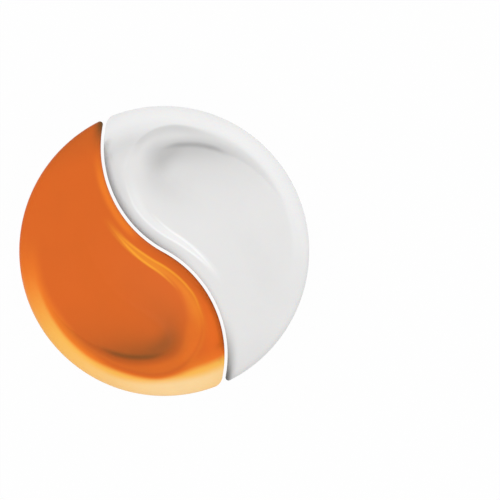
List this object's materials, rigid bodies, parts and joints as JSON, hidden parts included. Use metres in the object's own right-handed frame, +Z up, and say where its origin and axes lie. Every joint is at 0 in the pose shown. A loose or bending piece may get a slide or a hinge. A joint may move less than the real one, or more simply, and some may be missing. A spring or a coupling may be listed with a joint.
{
  "type": "nesting hand eraser",
  "caption": "Flat round rubber eraser parted by an S-shaped seam into nesting comma-shaped halves, one orange and one white, each with a sloping thumb recess, for rubbing out pencil by hand.",
  "frame": {"origin": "middle of the round disc, on the flat underside of both halves", "axes": "+Z up out of the thumb recesses, the two ends of the S-shaped seam on the Y axis, the white half mostly at +X with its head at +Y"},
  "size_m": [0.048, 0.048, 0.012],
  "materials": {
    "white_rubber": "smooth satin moulded rubber",
    "orange_rubber": "smooth satin moulded rubber"
  },
  "bodies": {
    "white_half": {"white_eraser": "white_rubber"},
    "orange_half": {"orange_eraser": "orange_rubber"}
  },
  "joints": [
    {"name": "pull_apart", "type": "slide", "parent": "white_half", "child": "orange_half", "axis": [-1, 0, 0], "range_m": [0, 0.03]}
  ]
}
